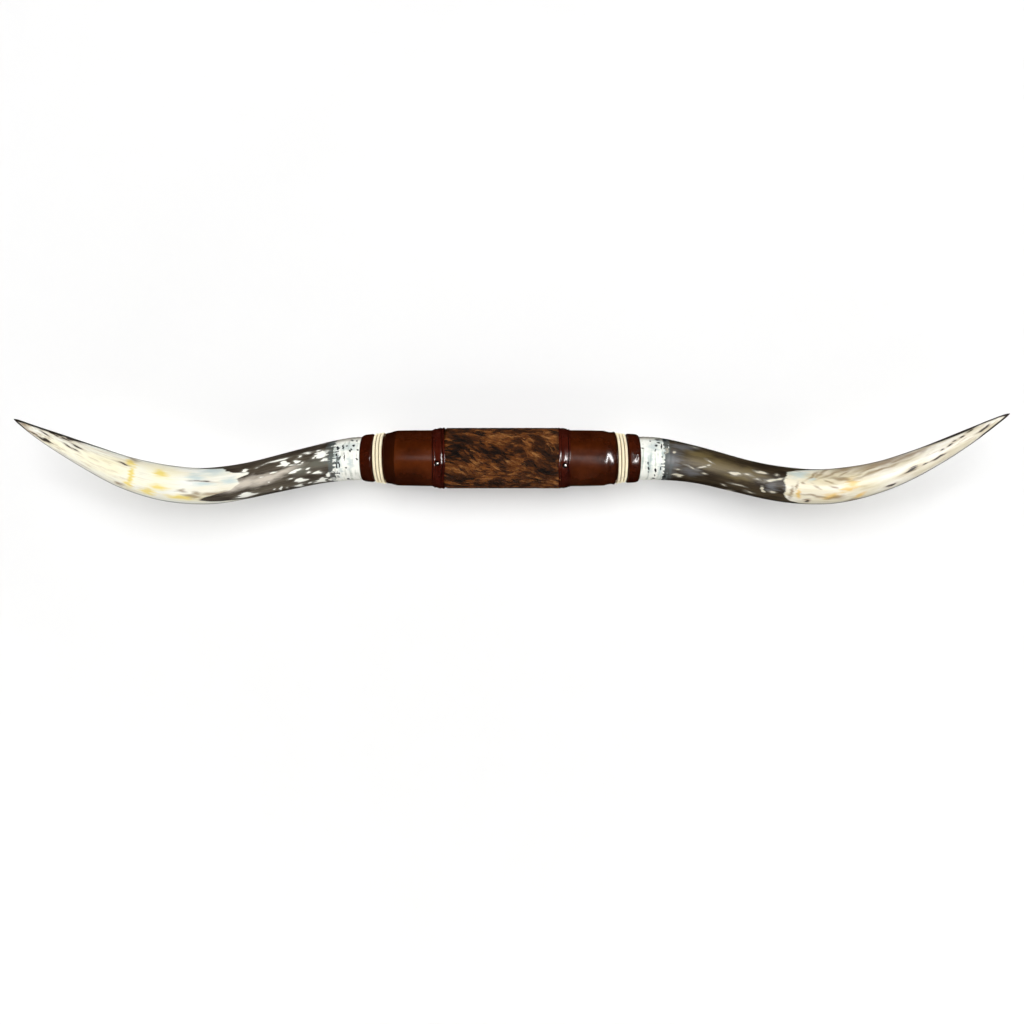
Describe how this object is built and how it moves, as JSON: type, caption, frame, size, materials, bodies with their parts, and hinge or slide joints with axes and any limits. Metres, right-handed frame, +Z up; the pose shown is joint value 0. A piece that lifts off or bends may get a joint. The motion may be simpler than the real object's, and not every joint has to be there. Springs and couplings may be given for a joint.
{
  "type": "longhorn horn mount",
  "caption": "Polished longhorn steer horns joined by a leather and hair-on cowhide centre with rope-bound cuffs, on a wooden back board that hangs flat on a wall.",
  "frame": {"origin": "on the back board's flat back face, which is the wall, in the middle of the mount and level with its long axis", "axes": "+X along the mount towards the viewer's right, +Y into the wall, +Z up"},
  "size_m": [1.7267, 0.1484, 0.1602],
  "materials": {
    "left_horn": "polished cattle horn, ivory with olive and brown streaks",
    "right_horn": "polished cattle horn, ivory and honey with dark olive flecks",
    "hide": "short hair-on brindle cowhide, dark brown with tan streaks",
    "leather": "glossy dark red-brown leather, puckered at the edges",
    "rope": "twisted cream cotton cord",
    "tack": "dark bronzed domed upholstery tack, glossy",
    "wood": "dark stained softwood, satin",
    "steel": "zinc plated"
  },
  "bodies": {
    "root": {"horn_left": "left_horn", "horn_right": "right_horn", "hide_panel": "hide", "sleeve_left": "leather", "sleeve_right": "leather", "strap_left": "leather", "strap_right": "leather", "cuff_left": "leather", "cuff_right": "leather", "rope_left": "rope", "rope_right": "rope", "tack_left": "tack", "tack_right": "tack", "back_board": "wood", "hanger": "steel", "screw_left": "steel", "screw_right": "steel"}
  },
  "joints": []
}
